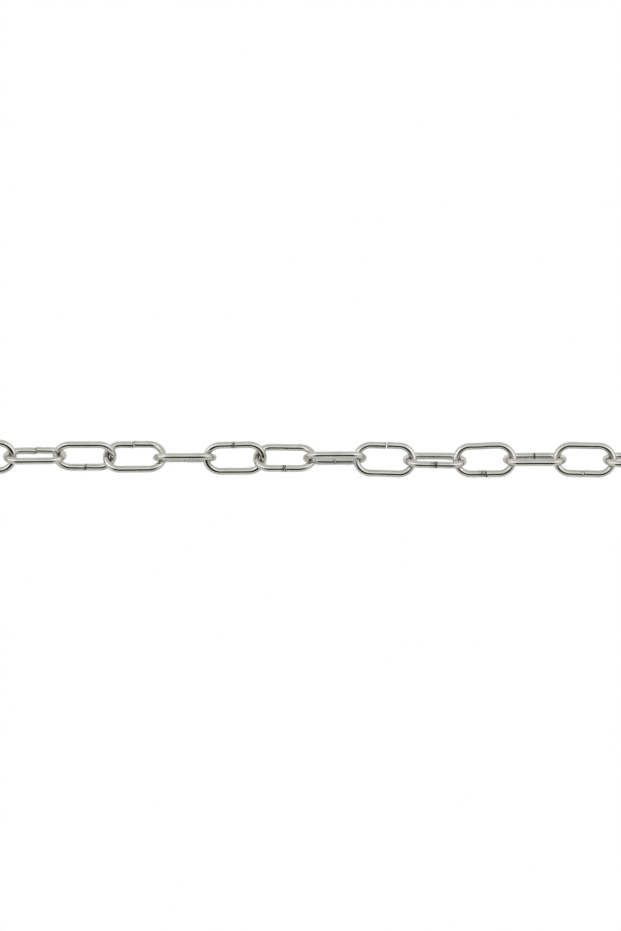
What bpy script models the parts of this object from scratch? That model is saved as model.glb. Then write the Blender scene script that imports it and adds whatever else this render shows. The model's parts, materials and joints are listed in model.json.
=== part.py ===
"""A straight length of open-link steel chain, lying on the floor.

Metres, +Z up. The chain runs along X and rests on z = 0.
Every link is one bent round wire with an open butt joint in one long side.
"""

import math

import bmesh
import bpy
from mathutils import Matrix, Vector

# Size of one link
WIRE_DIAMETER = 0.0030
LINK_LENGTH = 0.0286
LINK_WIDTH = 0.0154
JOINT_SLIT = 0.0003
LINK_CLEARANCE = 0.00045

# Fineness of the faceted wire
SECTION_SIDES = 12
BEND_STEPS = 10

# Plated steel
PLATING_COLOR = (0.66, 0.645, 0.61, 1.0)
PLATING_ROUGHNESS = 0.24

# Each link from left to right: its lean from the floor in degrees,
# the side of its butt joint, the height of its middle and its sideways
# place in millimetres. A lean above zero has the far side up.
LINKS = (
    (-36, 1, 5.13, 0.0),
    (36, 1, 5.13, 0.0),
    (-36, -1, 5.13, 0.0),
    (36, 1, 5.15, 0.1),
    (-36, -1, 5.25, 0.3),
    (45, 1, 6.2, 0.4),
    (-33, 1, 6.9, 0.6),
    (72, -1, 8.0, 0.2),
    (7, 1, 6.8, -0.2),
    (-59, 1, 7.1, 0.0),
    (56, 1, 6.6, -0.4),
    (-6, -1, 6.6, -0.1),
    (-68, 1, 9.0, -1.0),
    (35, 1, 5.3, -0.1),
    (-36, -1, 5.25, -0.4),
    (35, -1, 5.0, 0.6),
    (-41, 1, 6.25, -0.1),
    (35, -1, 4.9, 0.8),
    (-37, 1, 5.55, 0.2),
    (36, -1, 5.1, 0.1),
    (-36, 1, 5.2, 0.0),
    (36, -1, 5.13, 0.0),
    (-36, 1, 5.13, 0.0),
)
MILLIMETRE = 0.001

# Derived sizes
HALF_CENTRE_WIDTH = (LINK_WIDTH - WIRE_DIAMETER) / 2
HALF_STRAIGHT = (LINK_LENGTH - LINK_WIDTH) / 2
PITCH = LINK_LENGTH - 2 * WIRE_DIAMETER - LINK_CLEARANCE

# The facets hold as much steel as the round wire does
SECTION_AREA = math.pi * (WIRE_DIAMETER / 2) ** 2
SECTION_RADIUS = math.sqrt(
    2 * SECTION_AREA / (SECTION_SIDES * math.sin(math.tau / SECTION_SIDES))
)


def clear_scene():
    for item in list(bpy.data.objects):
        bpy.data.objects.remove(item, do_unlink=True)


def plated_steel():
    material = bpy.data.materials.new("plated_steel")
    material.use_nodes = True
    shader = material.node_tree.nodes["Principled BSDF"]
    shader.inputs["Base Color"].default_value = PLATING_COLOR
    shader.inputs["Metallic"].default_value = 1.0
    shader.inputs["Roughness"].default_value = PLATING_ROUGHNESS
    return material


def wire_path():
    """Points of the wire's centre line with their outward directions.

    The line starts at one face of the butt joint, in the side at +Y,
    and goes round the oval to the joint's other face.
    """
    half_slit = JOINT_SLIT / 2
    points = [(Vector((half_slit, HALF_CENTRE_WIDTH, 0)), math.pi / 2)]
    for end, first_angle in ((1, math.pi / 2), (-1, -math.pi / 2)):
        for step in range(BEND_STEPS + 1):
            angle = first_angle - math.pi * step / BEND_STEPS
            centre = Vector((end * HALF_STRAIGHT, 0, 0))
            arm = Vector((math.cos(angle), math.sin(angle), 0))
            points.append((centre + HALF_CENTRE_WIDTH * arm, angle))
    points.append((Vector((-half_slit, HALF_CENTRE_WIDTH, 0)), math.pi / 2))
    return points


def section_ring(mesh, point, angle, phase):
    """One ring of the wire's many-sided section, square to the path."""
    outward = Vector((math.cos(angle), math.sin(angle), 0))
    upward = Vector((0, 0, 1))
    ring = []
    for side in range(SECTION_SIDES):
        turn = phase + math.tau * (side + 0.5) / SECTION_SIDES
        offset = math.cos(turn) * outward + math.sin(turn) * upward
        ring.append(mesh.verts.new(point + SECTION_RADIUS * offset))
    return ring


def link_mesh(name, phase, joint_side):
    """The bent wire of one link, open at its butt joint."""
    mesh = bmesh.new()
    rings = []
    for point, angle in wire_path():
        rings.append(section_ring(mesh, point, angle, phase))
    for ring, following in zip(rings, rings[1:]):
        for side in range(SECTION_SIDES):
            beside = (side + 1) % SECTION_SIDES
            mesh.faces.new((ring[side], ring[beside], following[beside], following[side]))
    mesh.faces.new(rings[0])
    mesh.faces.new(rings[-1])
    if joint_side < 0:
        half_turn = Matrix.Rotation(math.pi, 3, "X")
        bmesh.ops.rotate(mesh, matrix=half_turn, verts=mesh.verts)
    bmesh.ops.recalc_face_normals(mesh, faces=mesh.faces)
    data = bpy.data.meshes.new(name)
    mesh.to_mesh(data)
    mesh.free()
    return data


def floor_phase(lean, joint_side):
    """Turn of the section that lays a facet of the link's low side on the floor."""
    return joint_side * math.atan2(-math.cos(lean), abs(math.sin(lean)))


def hook_points():
    """Where neighbours hook into each other, from before the first link on."""
    places = []
    for _, _, height, sideways in LINKS:
        places.append(Vector((0, sideways, height)) * MILLIMETRE)
    points = [places[0].copy()]
    for place, following in zip(places, places[1:]):
        points.append((place + following) / 2)
    points.append(places[-1].copy())
    reach = PITCH * len(LINKS) / 2
    for index, point in enumerate(points):
        point.x = PITCH * index - reach
    return points


def link_placement(start, end, lean):
    """Turns a link along its two hook points and leans it about them."""
    along = (end - start).normalized()
    level = Vector((0, 0, 1)).cross(along).normalized()
    upright = along.cross(level)
    crosswise = math.cos(lean) * level + math.sin(lean) * upright
    facing = along.cross(crosswise)
    turn = Matrix((along, crosswise, facing)).transposed().to_4x4()
    return Matrix.Translation((start + end) / 2) @ turn


def add_link(number, start, end, lean, joint_side, material):
    name = f"link_{number:02d}"
    data = link_mesh(name, floor_phase(lean, joint_side), joint_side)
    data.materials.append(material)
    link = bpy.data.objects.new(name, data)
    bpy.context.collection.objects.link(link)
    link.matrix_world = link_placement(start, end, lean)
    return link


def rest_on_floor(links):
    """Shifts the chain so its lowest point is at z = 0 and its box is centred."""
    corners = []
    for link in links:
        corners += [link.matrix_world @ vertex.co for vertex in link.data.vertices]
    middle_x = (min(c.x for c in corners) + max(c.x for c in corners)) / 2
    middle_y = (min(c.y for c in corners) + max(c.y for c in corners)) / 2
    shift = Vector((middle_x, middle_y, min(c.z for c in corners)))
    for link in links:
        link.matrix_world = Matrix.Translation(-shift) @ link.matrix_world


def build_chain():
    material = plated_steel()
    points = hook_points()
    links = []
    for index, (lean, joint_side, _, _) in enumerate(LINKS):
        start, end = points[index], points[index + 1]
        links.append(add_link(index + 1, start, end, math.radians(lean), joint_side, material))
    rest_on_floor(links)
    return links


clear_scene()
build_chain()
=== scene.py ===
"""A straight length of open-link steel chain, bright plated, on a pale floor.

Metres, +Z up, in the frame of the CAD model. The chain runs along X.
Every link is one bent round wire with an open butt joint in one long side.
"""

import json
import math
import random

import bpy
from mathutils import Matrix, Vector


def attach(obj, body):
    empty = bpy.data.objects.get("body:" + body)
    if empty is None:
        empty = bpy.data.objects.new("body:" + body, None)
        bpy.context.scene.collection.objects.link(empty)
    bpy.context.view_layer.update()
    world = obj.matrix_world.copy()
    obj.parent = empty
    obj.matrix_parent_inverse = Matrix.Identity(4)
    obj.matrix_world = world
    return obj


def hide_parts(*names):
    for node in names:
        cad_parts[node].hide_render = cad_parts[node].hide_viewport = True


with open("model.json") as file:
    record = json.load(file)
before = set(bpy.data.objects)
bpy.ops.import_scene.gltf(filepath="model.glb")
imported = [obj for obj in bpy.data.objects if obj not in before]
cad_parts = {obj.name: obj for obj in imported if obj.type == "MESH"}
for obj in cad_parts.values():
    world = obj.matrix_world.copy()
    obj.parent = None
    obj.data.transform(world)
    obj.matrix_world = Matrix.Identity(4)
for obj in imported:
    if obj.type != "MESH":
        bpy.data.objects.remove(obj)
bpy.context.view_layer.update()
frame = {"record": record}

MILLIMETRE = 0.001

# Size of one link, as in the CAD model
WIRE_DIAMETER = 0.0030
LINK_LENGTH = 0.0286
LINK_WIDTH = 0.0154
LINK_CLEARANCE = 0.00045
PITCH = LINK_LENGTH - 2 * WIRE_DIAMETER - LINK_CLEARANCE
BEND_RADIUS = (LINK_WIDTH - WIRE_DIAMETER) / 2

# A real link is drawn up against its neighbours
CLOSED_LENGTH = 0.02828

# From the line of hook points to the CAD model's place on the floor
SETTLE = Vector((0, 0.0002594, -0.000003))

# Each link from left to right: its lean from the floor in degrees,
# the side of its butt joint, the height of its middle and its sideways
# place in millimetres. A lean above zero has the far side up.
LINKS = (
    (-36, 1, 5.13, 0.0),
    (36, 1, 5.13, 0.0),
    (-36, -1, 5.13, 0.0),
    (36, 1, 5.15, 0.1),
    (-36, -1, 5.25, 0.3),
    (45, 1, 6.2, 0.4),
    (-33, 1, 6.9, 0.6),
    (72, -1, 8.0, 0.2),
    (7, 1, 6.8, -0.2),
    (-59, 1, 7.1, 0.0),
    (56, 1, 6.6, -0.4),
    (-6, -1, 6.6, -0.1),
    (-68, 1, 9.0, -1.0),
    (35, 1, 5.3, -0.1),
    (-36, -1, 5.25, -0.4),
    (35, -1, 5.0, 0.6),
    (-41, 1, 6.25, -0.1),
    (35, -1, 4.9, 0.8),
    (-38, 1, 5.55, 0.2),
    (36, -1, 5.1, 0.1),
    (-36, 1, 5.2, 0.0),
    (36, -1, 5.13, 0.0),
    (-36, 1, 5.13, 0.0),
)

# What sets a link's butt joint apart, as the camera sees it: its place off
# the middle and its opening in millimetres, the slant of the cut across the
# wire and away into it, how far the left end stands above the right one and
# nearer than it in millimetres, how torn the cut is, how dark its edges are,
# and how far a brown stain reaches from it on the left in millimetres.
JOINTS = {
    7: (0.04, 0.30, 0.00, 0.20, -0.32, 0.00, 0.7, 0.7, 0.5),
    8: (-0.02, 0.40, 0.03, 0.20, -0.12, 0.10, 0.8, 0.9, 0.5),
    9: (-0.34, 0.38, -0.02, 0.08, -0.24, 0.00, 1.7, 0.5, 0.6),
    10: (0.60, 0.40, 0.10, 0.10, 0.14, 0.00, 0.8, 0.3, 1.2),
    11: (-0.50, 0.38, 0.12, 0.14, 0.06, 0.10, 1.7, 0.7, 1.0),
    12: (0.16, 0.38, -0.10, 0.16, 0.06, 0.00, 2.2, 0.8, 1.8),
    13: (0.24, 0.36, 0.00, 0.03, 0.00, 0.00, 0.6, 0.6, 0.5),
    14: (0.60, 0.60, 0.06, 0.00, -0.14, 0.00, 0.6, 0.2, 0.4),
    15: (0.34, 0.32, 0.03, 0.14, 0.00, 0.10, 1.4, 0.8, 3.0),
    16: (0.16, 0.40, -0.22, 0.16, 0.16, 0.00, 2.0, 0.5, 3.4),
    17: (0.04, 0.34, 0.00, 0.16, 0.04, 0.00, 0.8, 0.6, 0.5),
    18: (-0.46, 0.50, 0.24, 0.03, -0.14, 0.00, 0.8, 0.5, 0.6),
    19: (0.10, 0.34, 0.05, 0.05, 0.00, 0.00, 0.7, 0.6, 0.6),
}
JOINT_RANGES = (
    (-0.7, 0.7), (0.25, 0.40), (-0.2, 0.2), (0.0, 0.2),
    (-0.12, 0.12), (-0.1, 0.1), (0.5, 1.2), (0.4, 0.9), (0.4, 1.8),
)

# How far a link lies askew within its slack, in degrees, right end up
ASKEW = {
    7: -0.5, 8: 1.3, 9: 1.8, 10: 0.6, 11: 1.8, 12: -1.2,
    13: 1.3, 14: 0.8, 15: -1.4, 16: -0.3, 17: 0.3, 18: -0.8,
}

# Wires that are not quite straight: the step outwards in the side across
# from the joint, in millimetres
KINKS = {16: 0.30, 11: 0.10, 12: -0.08}

# Fineness of the drawn wire
RINGS = 220
RING_SIDES = 28
CROWDING = 0.93

# The camera looks down across the chain from the near side
CAMERA_AIM = Vector((0.01139, 0.00082, 0))
CAMERA_ELEVATION = math.radians(55)
CAMERA_ROLL = math.radians(0.173)
CAMERA_LENS = 150
CAMERA_DISTANCE = 1.7239
SIGHT = Vector((0, -math.cos(CAMERA_ELEVATION), math.sin(CAMERA_ELEVATION)))

FLOOR_HEIGHT = -0.00018
FLOOR_HALF_SIZE = 4.0


class Number:
    """A number in a node tree that takes part in Python sums."""

    def __init__(self, board, socket):
        self.board = board
        self.socket = socket

    def __add__(self, other):
        return self.board.sum("ADD", self, other)

    def __radd__(self, other):
        return self.board.sum("ADD", other, self)

    def __sub__(self, other):
        return self.board.sum("SUBTRACT", self, other)

    def __rsub__(self, other):
        return self.board.sum("SUBTRACT", other, self)

    def __mul__(self, other):
        return self.board.sum("MULTIPLY", self, other)

    def __rmul__(self, other):
        return self.board.sum("MULTIPLY", other, self)

    def __truediv__(self, other):
        return self.board.sum("DIVIDE", self, other)

    def __rtruediv__(self, other):
        return self.board.sum("DIVIDE", other, self)

    def __pow__(self, other):
        return self.board.sum("POWER", self, other)

    def __neg__(self):
        return self.board.sum("MULTIPLY", self, -1.0)

    def __abs__(self):
        return self.board.sum("ABSOLUTE", self)

    def limit(self, low, high):
        return self.board.sum("MINIMUM", self.board.sum("MAXIMUM", self, low), high)

    def step(self, low, high):
        """A soft step from 0 at the low value to 1 at the high one."""
        settings = {"interpolation_type": "SMOOTHSTEP"}
        values = {"Value": self, "From Min": low, "From Max": high}
        return self.board.number("ShaderNodeMapRange", settings, values, "Result")


class Board:
    """A node tree, and the ways to add to it."""

    def __init__(self, tree):
        self.tree = tree

    def add(self, kind, settings=None, values=None):
        """Adds a node, sets it, then gives its sockets their values or links."""
        node = self.tree.nodes.new(kind)
        for name, setting in (settings or {}).items():
            if name == "stops":
                self.set_stops(node.color_ramp, setting)
            else:
                setattr(node, name, setting)
        for name, value in (values or {}).items():
            self.feed(node.inputs[name], value)
        return node

    def set_stops(self, ramp, stops):
        while len(ramp.elements) < len(stops):
            ramp.elements.new(1.0)
        for element, (place, color) in zip(ramp.elements, stops):
            element.position = place
            element.color = color

    def feed(self, socket, value):
        if isinstance(value, Number):
            value = value.socket
        if isinstance(value, bpy.types.NodeSocket):
            self.tree.links.new(value, socket)
        else:
            socket.default_value = value

    def number(self, kind, settings, values, output=0):
        return Number(self, self.add(kind, settings, values).outputs[output])

    def sum(self, operation, *terms):
        node = self.add("ShaderNodeMath", {"operation": operation}, dict(enumerate(terms)))
        return Number(self, node.outputs[0])

    def split(self, vector):
        node = self.add("ShaderNodeSeparateXYZ", None, {0: vector})
        return tuple(Number(self, node.outputs[axis]) for axis in range(3))

    def join(self, x, y, z):
        return self.add("ShaderNodeCombineXYZ", None, {0: x, 1: y, 2: z}).outputs[0]

    def vectors(self, operation, *terms):
        node = self.add("ShaderNodeVectorMath", {"operation": operation}, dict(enumerate(terms)))
        return node.outputs[0]

    def scaled(self, vector, scale):
        values = {0: vector, "Scale": scale}
        return self.add("ShaderNodeVectorMath", {"operation": "SCALE"}, values).outputs[0]

    def mark(self, shape, name, value, kind="FLOAT"):
        """Stores a value on every point of a shape."""
        values = {0: shape.outputs[0], "Name": name, "Value": value}
        return self.add("GeometryNodeStoreNamedAttribute", {"data_type": kind}, values)

    def marked(self, name, kind="FLOAT"):
        """Reads a stored value back."""
        values = {"Name": name}
        return self.number("GeometryNodeInputNamedAttribute", {"data_type": kind}, values)

    def noise(self, place, scale, detail=2.0, roughness=0.5, output="Factor"):
        values = {"Vector": place, "Scale": scale, "Detail": detail, "Roughness": roughness}
        output = "Fac" if output == "Factor" else "Color"
        return self.number("ShaderNodeTexNoise", None, values, output)

    def mix(self, factor, first, second):
        """Mixes two colours."""
        settings = {"data_type": "RGBA"}
        node = self.add("ShaderNodeMix", settings, {0: factor, 6: first, 7: second})
        return node.outputs[2]


def bent_link_tree(finish):
    """The tree that bends one wire into an open link, flat in XY.

    Its joint is in the side at +Y. It leaves two vectors on the surface:
    wire_map holds the place round and along the wire, with a number of the
    link's own added to the place along, and wire_marks the nearness to the cut
    ends, the insides of the crowns, where the plating is rubbed and painted shade
    darkens the wire under its neighbour, and the darkness of the cut edges.
    """
    tree = bpy.data.node_groups.new("bent_link", "GeometryNodeTree")
    tree.is_modifier = True
    tree.interface.new_socket("Geometry", in_out="INPUT", socket_type="NodeSocketGeometry")
    tree.interface.new_socket("Geometry", in_out="OUTPUT", socket_type="NodeSocketGeometry")
    names = ("Length", "Bend Radius", "Wire Radius", "End Stretch", "Joint Place", "Opening",
             "Step Out", "Step Up", "Slant Out", "Slant Up", "Cut Roughness", "Cut Darkness",
             "Stain Reach", "Kink", "Twist", "Waviness", "Seed")
    for name in names:
        tree.interface.new_socket(name, in_out="INPUT", socket_type="NodeSocketFloat")
    board = Board(tree)
    given = tree.nodes.new("NodeGroupInput")
    take = {name: Number(board, given.outputs[name]) for name in names}
    bend = take["Bend Radius"]
    wire = take["Wire Radius"]
    seed = take["Seed"]
    stretch = take["End Stretch"]
    straight = take["Length"] * 0.5 - wire - bend * stretch
    around = bend * math.pi
    whole = straight * 4 + around * 2

    # A line of rings that crowd towards the joint
    line = board.add("GeometryNodeCurvePrimitiveLine", None, {"End": (1, 0, 0)})
    line = board.add("GeometryNodeResampleCurve", None, {"Curve": line.outputs[0], "Count": RINGS})
    share = Number(board, board.add("GeometryNodeSplineParameter").outputs["Factor"])
    crowd = share - board.sum("SINE", share * math.tau) * (CROWDING / math.tau)
    opening = take["Opening"]
    joint = take["Joint Place"]
    line = board.mark(line, "run", joint + opening * 0.5 + (whole - opening) * crowd)
    run = board.marked("run")

    # The oval that the wire follows
    first_turn = ((run - straight) / bend).limit(0.0, math.pi)
    second_turn = ((run - straight * 3 - around) / bend).limit(0.0, math.pi)
    out = board.sum("MINIMUM", run, straight)
    back = (run - straight - around).limit(0.0, straight * 2)
    home = board.sum("MAXIMUM", run - straight * 3 - around * 2, 0.0)
    reach = board.sum("SINE", first_turn) - board.sum("SINE", second_turn)
    x = out - back + home + bend * stretch * reach
    y = bend * board.sum("COSINE", first_turn + second_turn)

    # Hand-fed bending leaves long waves in the straight sides
    loose = 1 - (abs(x) - straight).step(0.0, bend * 0.8)
    place = board.join(x * 1000, y * 1000, seed * 7.3)
    slow = board.split(board.noise(place, 0.055, 0.0, 0.5, "Color").socket)
    quick = board.split(board.noise(place, 0.16, 1.0, 0.5, "Color").socket)
    sway = [(a - 0.5) * 0.0012 + (b - 0.5) * 0.00022 for a, b in zip(slow, quick)]
    waviness = take["Waviness"] * loose
    kink = take["Kink"] * loose * (-y / bend).limit(0.0, 1.0) * (x.step(-0.004, 0.004) - 0.5)

    # One end stands proud of the other at the joint
    from_start = run - joint
    from_end = whole + joint - run
    late = 1 - from_end.step(0.0, 0.005)
    early = 1 - from_start.step(0.0, 0.005)
    step_out = take["Step Out"] * (late - early) * 0.5
    step_up = take["Step Up"] * (late - early) * 0.5
    y = y + sway[1] * waviness - kink + step_out
    z = sway[2] * waviness + step_up

    # A small twist from end to end
    turn = take["Twist"] * x / straight
    twisted_y = y * board.sum("COSINE", turn) - z * board.sum("SINE", turn)
    twisted_z = y * board.sum("SINE", turn) + z * board.sum("COSINE", turn)
    core = board.join(x, twisted_y, twisted_z)
    line = board.add("GeometryNodeSetPosition", None, {0: line.outputs[0], "Position": core})

    # The shears pinch the wire and round its rim over
    nearest = board.sum("MINIMUM", from_start, from_end) - opening * 0.5
    rim = 1 - nearest.step(-0.00002, 0.00011)
    pinch = 1 - nearest.step(0.0, 0.0016)
    radius = 1 - rim ** 2.0 * 0.34 - pinch * 0.025
    line = board.add("GeometryNodeSetCurveRadius", None, {0: line.outputs[0], "Radius": radius})
    line = board.add("GeometryNodeSetCurveNormal", {"mode": "Z_UP"}, {0: line.outputs[0]})
    line = board.mark(line, "core", core, "FLOAT_VECTOR")
    values = {"Resolution": RING_SIDES, "Radius": wire}
    ring = board.add("GeometryNodeCurvePrimitiveCircle", None, values)
    values = {"Curve": line.outputs[0], "Profile Curve": ring.outputs[0], "Fill Caps": True}
    shape = board.add("GeometryNodeCurveToMesh", None, values)

    # Where each point of the surface is, round the wire and along it
    core = board.marked("core", "FLOAT_VECTOR").socket
    position = board.add("GeometryNodeInputPosition").outputs[0]
    arm = board.vectors("SUBTRACT", position, core)
    core_x, core_y, core_z = board.split(core)
    middle = board.join(core_x.limit(-straight, straight), 0.0, 0.0)
    flat = board.join(core_x, core_y, 0.0)
    outward = board.vectors("NORMALIZE", board.vectors("SUBTRACT", flat, middle))
    node = board.add("ShaderNodeVectorMath", {"operation": "DOT_PRODUCT"}, {0: arm, 1: outward})
    out_share = Number(board, node.outputs["Value"]) / wire
    up_share = board.split(arm)[2] / wire

    # Slanting cut, torn metal at the cut and the die's flats in the crowns
    cut = 1 - nearest.step(0.0, 0.0022)
    slant = (take["Slant Out"] * out_share + take["Slant Up"] * up_share) * wire * cut
    torn = 1 - nearest.step(0.0, 0.0007)
    place = board.join(out_share * 1.5 + from_start.step(0.0, 0.001) * 9, up_share * 1.5, seed)
    tear = board.split(board.noise(place, 1.3, 2.0, 0.6, "Color").socket)
    tear = [(part - 0.5) * torn * take["Cut Roughness"] for part in tear]
    crown = (abs(core_x) - straight).step(bend * 0.55, bend * 1.0)
    flatten = crown * (-out_share).step(0.5, 1.0) * 0.00005
    shift = board.join(slant + tear[0] * 0.0005, tear[1] * 0.00042, tear[2] * 0.00042)
    shift = board.vectors("ADD", shift, board.scaled(outward, flatten))
    values = {0: shape.outputs[0], "Offset": shift}
    shape = board.add("GeometryNodeSetPosition", None, values)

    # Marks for the finish, and painted shade in the insides of the crowns
    # Inside the crowns the plating is rubbed, and this same mask also darkens them as painted
    # shade where the neighbouring link crosses
    rubbed_and_shaded = crown * (-out_share).step(0.15, 0.9)
    reach = 0.0004 + from_start.step(0.010, 0.020) * take["Stain Reach"]
    stained = 1 - (nearest / reach).step(0.1, 1.0)
    edge = (1 - nearest.step(0.00003, 0.00026)) * take["Cut Darkness"]
    own = board.sum("FRACT", seed * 0.618034)
    wire_map = board.join(out_share, up_share, run * 1000 + own * 280)
    wire_marks = board.join(stained, rubbed_and_shaded, edge)
    shape = board.mark(shape, "wire_map", wire_map, "FLOAT_VECTOR")
    shape = board.mark(shape, "wire_marks", wire_marks, "FLOAT_VECTOR")
    for name in ("run", "core"):
        values = {0: shape.outputs[0], "Name": name}
        shape = board.add("GeometryNodeRemoveAttribute", None, values)
    shape = board.add("GeometryNodeSetShadeSmooth", None, {0: shape.outputs[0]})
    shape = board.add("GeometryNodeRealizeInstances", None, {0: shape.outputs[0]})
    shape = board.add("GeometryNodeSetMaterial", None, {0: shape.outputs[0], "Material": finish})
    result = tree.nodes.new("NodeGroupOutput")
    tree.links.new(shape.outputs[0], result.inputs[0])
    return tree


def bend_link(tree, sizes, name):
    """Runs the tree once and returns the plain mesh."""
    carrier = bpy.data.objects.new("carrier", bpy.data.meshes.new("carrier"))
    bpy.context.scene.collection.objects.link(carrier)
    modifier = carrier.modifiers.new("bent_link", "NODES")
    modifier.node_group = tree
    for item in tree.interface.items_tree:
        if item.item_type == "SOCKET" and item.in_out == "INPUT" and item.name in sizes:
            modifier[item.identifier] = float(sizes[item.name])
    graph = bpy.context.evaluated_depsgraph_get()
    mesh = bpy.data.meshes.new_from_object(carrier.evaluated_get(graph))
    mesh.name = name
    bpy.data.objects.remove(carrier, do_unlink=True)
    return mesh


def hook_points():
    """Where neighbours hook into each other, from before the first link on."""
    places = [Vector((0, sideways, height)) * MILLIMETRE for _, _, height, sideways in LINKS]
    points = [places[0].copy()]
    points += [(place + following) / 2 for place, following in zip(places, places[1:])]
    points.append(places[-1].copy())
    reach = PITCH * len(LINKS) / 2
    for index, point in enumerate(points):
        point.x = PITCH * index - reach
    return points


def link_placement(start, end, lean, askew):
    """Turns a link along its two hook points, leans it about them and sets it askew."""
    along = (end - start).normalized()
    level = Vector((0, 0, 1)).cross(along).normalized()
    upright = along.cross(level)
    crosswise = math.cos(lean) * level + math.sin(lean) * upright
    facing = along.cross(crosswise)
    turn = Matrix((along, crosswise, facing)).transposed().to_4x4()
    skew = Matrix.Rotation(askew, 4, SIGHT)
    return Matrix.Translation((start + end) / 2 + SETTLE) @ skew @ turn


def from_sight(across, deep, lean, joint_side):
    """Turns a slant or step as the camera sees it into the link's out and up."""
    sight = lean + CAMERA_ELEVATION
    out = across * math.sin(sight) - deep * math.cos(sight)
    up = across * math.cos(sight) + deep * math.sin(sight)
    return joint_side * out, joint_side * up


def link_sizes(number, lean, joint_side, chance):
    """What sets one link apart from the next."""
    drawn = [chance.uniform(low, high) for low, high in JOINT_RANGES]
    joint = JOINTS.get(number, drawn)
    place, opening, across, deep, rise, near, torn, dark, stain = joint
    slant_out, slant_up = from_sight(across, deep, lean, joint_side)
    out, up = from_sight(rise, near, lean, joint_side)
    kink = chance.uniform(-0.06, 0.06)
    return {
        "Length": CLOSED_LENGTH,
        "Bend Radius": BEND_RADIUS,
        "Wire Radius": WIRE_DIAMETER / 2,
        "End Stretch": chance.uniform(1.0, 1.05),
        "Joint Place": place * MILLIMETRE,
        "Opening": opening * MILLIMETRE,
        "Step Out": out * MILLIMETRE,
        "Step Up": up * MILLIMETRE,
        "Slant Out": slant_out,
        "Slant Up": slant_up,
        "Cut Roughness": torn,
        "Cut Darkness": dark,
        "Stain Reach": stain * MILLIMETRE,
        "Kink": KINKS.get(number, kink) * MILLIMETRE,
        "Twist": math.radians(chance.uniform(-0.3, 0.3)),
        "Waviness": chance.uniform(0.1, 0.2),
        "Seed": number + 0.37,
    }


def make_links(finish):
    body_of = {}
    for body, members in frame["record"]["behaviour"]["bodies"].items():
        for member in members:
            body_of[member] = body
    tree = bent_link_tree(finish)
    chance = random.Random(23)
    points = hook_points()
    for index, (lean, joint_side, _, _) in enumerate(LINKS):
        number = index + 1
        node = f"link_{number:02d}"
        lean = math.radians(lean)
        sizes = link_sizes(number, lean, joint_side, chance)
        mesh = bend_link(tree, sizes, f"bent_{node}")
        if joint_side < 0:
            mesh.transform(Matrix.Rotation(math.pi, 4, "X"))
        askew = math.radians(ASKEW.get(number, chance.uniform(-0.8, 0.8)))
        mesh.transform(link_placement(points[index], points[index + 1], lean, askew))
        piece = bpy.data.objects.new(f"bent_{node}", mesh)
        bpy.context.scene.collection.objects.link(piece)
        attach(piece, body_of[node])
        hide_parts(node)


def plated_wire():
    """Drawn wire with a bright plating, rubbed and darkened with painted shade in the crowns, and
    torn at the cuts.
    """
    material = bpy.data.materials.new("plated_wire")
    material.use_nodes = True
    tree = material.node_tree
    shader = tree.nodes["Principled BSDF"]
    board = Board(tree)
    wire_map = board.add("ShaderNodeAttribute", {"attribute_name": "wire_map"}).outputs["Vector"]
    marks = board.add("ShaderNodeAttribute", {"attribute_name": "wire_marks"}).outputs["Vector"]
    out_share, up_share, run = board.split(wire_map)
    stained, rubbed_and_shaded, edge = board.split(marks)
    here = board.add("ShaderNodeTexCoord").outputs["Object"]

    # Drawing lines run along the wire, smudges and clouds lie anywhere
    fine = board.join(out_share * 9.0, up_share * 9.0, run * 0.11)
    coarse = board.join(out_share * 2.2, up_share * 2.2, run * 0.09)
    lines = board.noise(fine, 1.0, 3.0, 0.6)
    bands = board.noise(coarse, 1.0, 2.0, 0.5)
    clouds = board.noise(here, 210.0, 3.0, 0.55)
    specks = board.noise(here, 1900.0, 2.0, 0.6)
    stains = board.noise(here, 640.0, 2.0, 0.6).step(0.60, 0.78)
    pits = specks.step(0.66, 0.76)
    stains_near = board.noise(here, 900.0, 2.0, 0.6).step(0.35, 0.6)

    bright = (0.610, 0.607, 0.574, 1)
    dull = (0.470, 0.466, 0.425, 1)
    tarnish = (0.330, 0.310, 0.235, 1)
    bare_and_shaded = (0.300, 0.293, 0.262, 1)
    burnt = (0.150, 0.138, 0.090, 1)
    soot = (0.070, 0.066, 0.054, 1)
    dullness = ((1 - clouds) * 0.55 + (1 - bands) * 0.45).step(0.38, 0.72)
    color = board.mix(dullness * 0.75, bright, dull)
    color = board.mix(stains * 0.35 + pits * 0.3, color, tarnish)
    color = board.mix(stained * stains_near * 0.9, color, burnt)
    # Rubbed bare steel inside the crowns, made darker than the wear alone as painted shade where
    # the wires cross
    color = board.mix(rubbed_and_shaded * lines.step(0.25, 0.5) * 0.8, color, bare_and_shaded)
    color = board.mix(edge, color, soot)
    board.feed(shader.inputs["Base Color"], color)

    rough = 0.02 + lines * 0.06 + clouds.step(0.35, 0.7) * 0.05
    rough = rough + stains * 0.10 + stained * 0.10 + edge * 0.2 + rubbed_and_shaded * 0.08
    board.feed(shader.inputs["Roughness"], rough.limit(0.03, 0.6))
    shader.inputs["Metallic"].default_value = 1.0

    relief = lines * 0.30 + bands * 0.9 + clouds * 1.0 - pits * 0.22 + stained * specks * 0.9
    values = {"Strength": 0.45, "Distance": 0.00005, "Height": relief}
    bump = board.add("ShaderNodeBump", None, values)
    board.feed(shader.inputs["Normal"], bump.outputs["Normal"])
    return material


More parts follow.
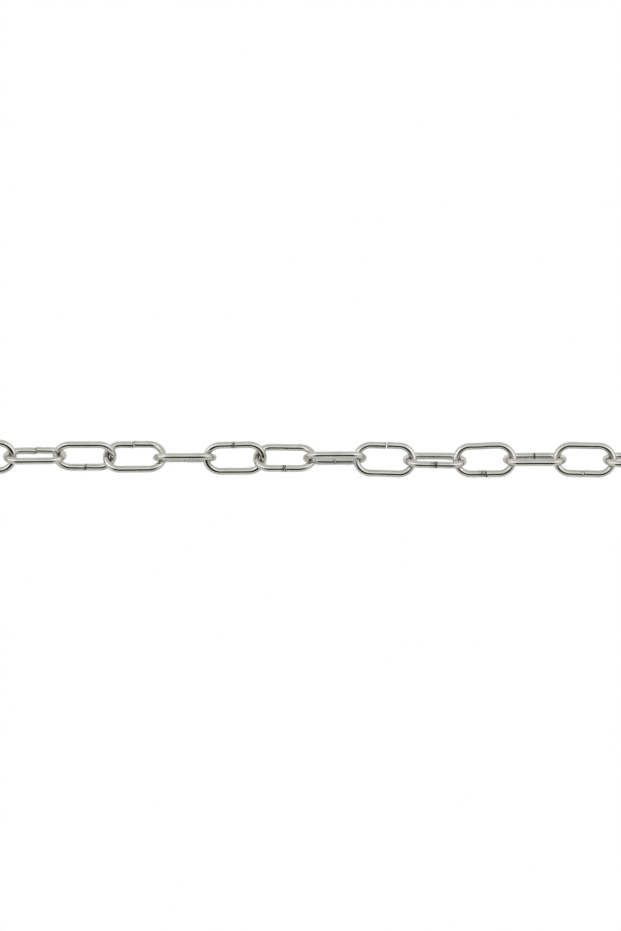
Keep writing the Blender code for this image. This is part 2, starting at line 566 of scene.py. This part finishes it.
def make_floor():
    """A plain white floor that the camera sees burnt out, as a cut-out ground, with painted shade
    in the narrow gaps under and between the wires.
    """
    material = bpy.data.materials.new("white_floor")
    material.use_nodes = True
    board = Board(material.node_tree)
    paper = material.node_tree.nodes["Principled BSDF"]
    paper.inputs["Base Color"].default_value = (0.82, 0.82, 0.81, 1)
    paper.inputs["Roughness"].default_value = 0.9
    paper.inputs["Specular IOR Level"].default_value = 0.0
    paper.inputs["Emission Color"].default_value = (1, 1, 1, 1)
    paper.inputs["Emission Strength"].default_value = 0.12
    # The camera sees a glowing white with painted shade: ambient occlusion darkens it in the
    # narrow gaps under and between the wires
    settings = {"samples": 6}
    openness = board.number("ShaderNodeAmbientOcclusion", settings, {"Distance": 0.008}, "AO")
    painted_gap_shade = (openness * 4).limit(0.0, 1.0)
    white = board.add("ShaderNodeBsdfPrincipled", None, {"Base Color": (0, 0, 0, 1)})
    white.inputs["Specular IOR Level"].default_value = 0.0
    white.inputs["Emission Strength"].default_value = 1.0
    board.feed(white.inputs["Emission Color"], board.join(painted_gap_shade, painted_gap_shade, painted_gap_shade))
    seen = board.add("ShaderNodeLightPath").outputs["Is Camera Ray"]
    values = {0: seen, 1: paper.outputs[0], 2: white.outputs[0]}
    both = board.add("ShaderNodeMixShader", None, values)
    board.feed(material.node_tree.nodes["Material Output"].inputs["Surface"], both.outputs[0])
    mesh = bpy.data.meshes.new("floor")
    side = FLOOR_HALF_SIZE
    corners = [(x * side, y * side, FLOOR_HEIGHT) for x, y in ((-1, -1), (1, -1), (1, 1), (-1, 1))]
    mesh.from_pydata(corners, [], [(0, 1, 2, 3)])
    mesh.materials.append(material)
    floor = bpy.data.objects.new("floor", mesh)
    bpy.context.scene.collection.objects.link(floor)


def make_light():
    """A white tent over the chain, open and dark behind the camera."""
    world = bpy.data.worlds.new("light_tent")
    bpy.context.scene.world = world
    world.use_nodes = True
    board = Board(world.node_tree)
    background = world.node_tree.nodes["Background"]
    way = board.add("ShaderNodeTexCoord").outputs["Generated"]
    x, y, z = board.split(way)
    height = board.sum("ARCSINE", z.limit(-1.0, 1.0)) * (180 / math.pi)
    aside = abs(x) / (board.sum("SQRT", x * x + y * y) + 0.0001)
    near = (-y).step(0.02, 0.12) * (1 - aside.step(0.45, 0.85))
    opening = height.step(-3.0, 3.0) * (1 - height.step(46.0, 54.0)) * near
    sweep = board.sum("ARCTAN2", z, -y) * (180 / math.pi)
    lamp = sweep.step(57.0, 66.0) * (1 - sweep.step(74.0, 104.0))
    back = sweep.step(120.0, 170.0)
    boxes = (abs(x) * 0.40 - y * 0.20 + z * 0.894).step(0.955, 0.985)
    sides = (abs(x) * 0.80 + z * 0.60).step(0.86, 0.95)
    level = (0.78 + lamp * 0.42 + back * 0.10) * (1 - opening * 0.99)
    level = level + boxes * 0.35 + sides * 0.45
    plain = board.add("ShaderNodeLightPath").outputs["Is Camera Ray"]
    shade = board.join(level, level, level * 0.985)
    board.feed(background.inputs["Color"], board.mix(plain, shade, (1.0, 1.0, 1.0, 1)))
    background.inputs["Strength"].default_value = 1.0


def make_camera():
    camera = bpy.data.objects.new("camera", bpy.data.cameras.new("camera"))
    bpy.context.scene.collection.objects.link(camera)
    camera.data.lens = CAMERA_LENS
    camera.data.sensor_width = 36
    camera.data.sensor_fit = "AUTO"
    camera.data.clip_start = 0.05
    camera.data.clip_end = 50
    camera.location = CAMERA_AIM + SIGHT * CAMERA_DISTANCE
    level = (-SIGHT).to_track_quat("-Z", "Y").to_matrix().to_4x4()
    turned = level @ Matrix.Rotation(CAMERA_ROLL, 4, "Z")
    camera.rotation_euler = turned.to_euler()
    bpy.context.scene.camera = camera


def plain_colors():
    """Whites stay white, with no film look."""
    settings = bpy.context.scene.view_settings
    settings.view_transform = "Standard"
    settings.look = "None"
    settings.exposure = 0.0
    settings.gamma = 1.0


make_camera()
make_links(plated_wire())
make_floor()
make_light()
plain_colors()
